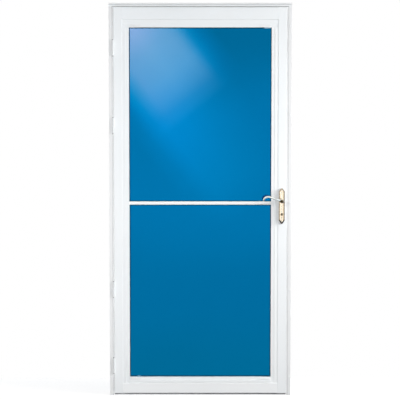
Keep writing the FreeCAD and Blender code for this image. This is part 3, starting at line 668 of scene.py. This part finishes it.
# The room: white as a backdrop, softer as fill light.  In mirrored light it is a
# pale studio with a dark flag straight ahead of the glass and a window's glow high on the left.
world = bpy.data.worlds.new("studio")
scene.world = world
world.use_nodes = True
wt = world.node_tree
wt.nodes.clear()


def wnode(kind, **sets):
    n = wt.nodes.new(kind)
    for k, v in sets.items():
        setattr(n, k, v)
    return n


def wramp(fac, stops, interp="LINEAR"):
    n = wnode("ShaderNodeValToRGB")
    cr = n.color_ramp
    cr.interpolation = interp
    while len(cr.elements) < len(stops):
        cr.elements.new(0.5)
    for e, (pos, col) in zip(cr.elements, stops):
        e.position = pos
        e.color = tuple(col) + (1.0,)
    wt.links.new(fac, n.inputs["Fac"])
    return n.outputs["Color"]


def wmap(value, a, b, lo=0.0, hi=1.0, kind="LINEAR"):
    n = wnode("ShaderNodeMapRange", interpolation_type=kind)
    for k, v in (("From Min", a), ("From Max", b), ("To Min", lo), ("To Max", hi)):
        n.inputs[k].default_value = v
    wt.links.new(value, n.inputs["Value"])
    return n.outputs["Result"]


def background(strength, color=None, strength_from=None):
    n = wnode("ShaderNodeBackground")
    n.inputs["Strength"].default_value = strength
    if color is None or isinstance(color, tuple):
        n.inputs["Color"].default_value = color or (1, 1, 1, 1)
    else:
        wt.links.new(color, n.inputs["Color"])
    if strength_from is not None:
        wt.links.new(strength_from, n.inputs["Strength"])
    return n.outputs[0]


def wadd(a, b):
    n = wnode("ShaderNodeAddShader")
    wt.links.new(a, n.inputs[0])
    wt.links.new(b, n.inputs[1])
    return n.outputs[0]


def wmix(fac, a, b):
    n = wnode("ShaderNodeMixShader")
    wt.links.new(fac, n.inputs["Fac"])
    wt.links.new(a, n.inputs[1])
    wt.links.new(b, n.inputs[2])
    return n.outputs[0]


way = wnode("ShaderNodeTexCoord").outputs["Generated"]
split = wnode("ShaderNodeSeparateXYZ")
wt.links.new(way, split.inputs[0])

# pale walls, dark underfoot, brightest straight ahead of the door
walls = wramp(
    wmap(split.outputs["Z"], -1.0, 1.0),
    [(0.0, (0.012, 0.012, 0.012)), (0.36, (0.03, 0.03, 0.03)), (0.44, (0.8, 0.8, 0.8)), (0.5, (1, 1, 1)), (0.75, (0.8, 0.8, 0.8)), (1.0, (1.0, 1.0, 1.0))],
)
ahead = wramp(
    wmap(split.outputs["Y"], -1.0, 1.0),
    [(0.0, (1, 1, 1)), (0.13, (0.85, 0.85, 0.85)), (0.33, (0.28, 0.28, 0.28)), (0.5, (0.24, 0.24, 0.25)), (1.0, (0.42, 0.42, 0.42))],
)
shade = wnode("ShaderNodeMix", data_type="RGBA", blend_type="MULTIPLY")
shade.inputs["Factor"].default_value = 1.0
wt.links.new(walls, shade.inputs["A"])
wt.links.new(ahead, shade.inputs["B"])
walls = shade.outputs["Result"]
right = wramp(
    wmap(split.outputs["X"], -1.0, 1.0),
    [(0.0, (1, 1, 1)), (0.58, (1, 1, 1)), (0.78, (0.80, 0.79, 0.78)), (1.0, (0.72, 0.70, 0.68))],
)
shade = wnode("ShaderNodeMix", data_type="RGBA", blend_type="MULTIPLY")
shade.inputs["Factor"].default_value = 1.0
wt.links.new(walls, shade.inputs["A"])
wt.links.new(right, shade.inputs["B"])
walls = shade.outputs["Result"]


# the flag: an upright card straight out from the glass
def card_edge(axis, centre, inner, outer):
    n = wnode("ShaderNodeMath", operation="SUBTRACT")
    wt.links.new(split.outputs[axis], n.inputs[0])
    n.inputs[1].default_value = centre
    m = wnode("ShaderNodeMath", operation="ABSOLUTE")
    wt.links.new(n.outputs[0], m.inputs[0])
    return wmap(m.outputs[0], inner, outer, 0.003, 2.2, "SMOOTHSTEP")


card = wnode("ShaderNodeMath", operation="MAXIMUM")
wt.links.new(card_edge("X", 0.0, 0.066, 0.082), card.inputs[0])
wt.links.new(card_edge("Z", -0.054, 0.163, 0.19), card.inputs[1])
lit = card.outputs[0]
mirrored = background(1.0, walls, lit)


def glow(aside, up, stops, span, strength, interp="EASE"):
    """Soft round patch of sky light in front of the door, for the glass to mirror."""
    n = wnode("ShaderNodeVectorMath", operation="DISTANCE")
    n.inputs[1].default_value = Vector((aside, -1.0, up)).normalized()
    wt.links.new(way, n.inputs[0])
    return background(strength, wramp(wmap(n.outputs["Value"], 0.0, span), stops, interp))


def lean(toward, stops):
    """Colour along one slanting line across the mirrored room; stops are (place, colour)."""
    n = wnode("ShaderNodeVectorMath", operation="DOT_PRODUCT")
    n.inputs[1].default_value = toward
    wt.links.new(way, n.inputs[0])
    a, b = stops[0][0], stops[-1][0]
    return wramp(wmap(n.outputs["Value"], a, b), [((p - a) / (b - a), c) for p, c in stops])


def shaft(across, along, strength):
    """Slanting shaft of window light in front of the door, for the glass to mirror."""
    n = wnode("ShaderNodeMix", data_type="RGBA", blend_type="MULTIPLY")
    n.inputs["Factor"].default_value = 1.0
    wt.links.new(lean((0.781, 0.0, 0.625), across), n.inputs["A"])
    wt.links.new(lean((0.625, 0.0, -0.781), along), n.inputs["B"])
    return background(strength, n.outputs["Result"], wmap(split.outputs["Y"], -0.9, -0.8, strength, 0.0))


window = shaft(
    [
        (-0.035, (0.0, 0.0, 0.0)),
        (-0.029, (0.0, 0.09, 0.20)),
        (-0.0245, (0.0, 0.25, 0.45)),
        (-0.021, (0.01, 0.33, 0.54)),
        (-0.0145, (0.16, 0.48, 0.69)),
        (-0.007, (0.41, 0.63, 0.83)),
        (0.0165, (0.48, 0.76, 0.96)),
        (0.038, (0.42, 0.71, 0.93)),
        (0.0437, (0.34, 0.64, 0.87)),
        (0.0483, (0.14, 0.51, 0.79)),
        (0.052, (0.02, 0.36, 0.65)),
        (0.0555, (0.0, 0.25, 0.50)),
        (0.062, (0.0, 0.11, 0.27)),
        (0.073, (0.0, 0.0, 0.0)),
    ],
    [
        (-0.128, (1.0, 1.0, 1.0)),
        (-0.088, (1.0, 1.0, 1.0)),
        (-0.065, (0.72, 0.86, 0.90)),
        (-0.051, (0.42, 0.55, 0.60)),
        (-0.0375, (0.10, 0.20, 0.25)),
        (-0.024, (0.0, 0.0, 0.0)),
    ],
    7.0,
)
middle = shaft(
    [
        (-0.046, (0.0, 0.0, 0.0)),
        (-0.033, (0.0, 0.13, 0.28)),
        (-0.026, (0.0, 0.27, 0.60)),
        (-0.0165, (0.0, 0.41, 0.92)),
        (0.003, (0.0, 0.38, 0.82)),
        (0.023, (0.0, 0.25, 0.50)),
        (0.043, (0.0, 0.10, 0.19)),
        (0.060, (0.0, 0.0, 0.0)),
    ],
    [
        (-0.068, (0.0, 0.0, 0.0)),
        (-0.030, (1.0, 1.0, 1.0)),
        (-0.015, (0.86, 0.86, 0.86)),
        (0.0035, (0.68, 0.68, 0.66)),
        (0.0235, (0.54, 0.54, 0.48)),
        (0.0445, (0.38, 0.38, 0.31)),
        (0.076, (0.0, 0.0, 0.0)),
    ],
    4.1,
)
corner = glow(-0.0668, 0.1083, [(0.0, (0.9, 0.35, 0.5)), (1.0, (0.0, 0.0, 0.0))], 0.0415, 3.6)
mirrored = wadd(wadd(mirrored, window), wadd(corner, middle))

ray = wnode("ShaderNodeLightPath")
fill = background(0.30, (0.97, 0.985, 1.0, 1))
seen = background(1.0)
room = wmix(ray.outputs["Is Glossy Ray"], fill, mirrored)
room = wmix(ray.outputs["Is Camera Ray"], room, seen)
wt.links.new(room, wnode("ShaderNodeOutputWorld").inputs["Surface"])


def area(name, loc, aim, size, power, shadow=True):
    d = bpy.data.lights.new(name, "AREA")
    d.shape = "RECTANGLE"
    d.size, d.size_y = size
    d.energy = power
    d.use_shadow = shadow
    ob = bpy.data.objects.new(name, d)
    ob.location = loc
    v = Vector(aim) - Vector(loc)
    ob.rotation_euler = v.to_track_quat("-Z", "Y").to_euler()
    ob.visible_camera = False
    ob.visible_glossy = False
    scene.collection.objects.link(ob)
    return ob


cx = MID * MM
area("key", (cx + 2.30, -1.15, 1.50), (cx + 0.1, 0, 0.10), (0.7, 0.9), 33)
area("fill", (cx - 1.9, -2.0, 0.90), (cx - 0.1, 0, 1.00), (0.9, 1.2), 42, shadow=False)
area("side", (cx + 2.8, -0.60, 1.65), (cx + 0.3, 0, -0.10), (0.5, 0.8), 63)
area("top", (cx, -1.3, 4.2), (cx, 0.1, 1.2), (2.4, 1.2), 5)
area("back_right", (cx + 2.2, 3.2, 2.4), (cx, 0, 1.0), (1.6, 2.0), 60)
area("back_left", (cx - 2.2, 3.2, 1.8), (cx, 0, 1.0), (1.6, 2.0), 50)

scene.view_settings.view_transform = "Standard"
scene.view_settings.look = "None"
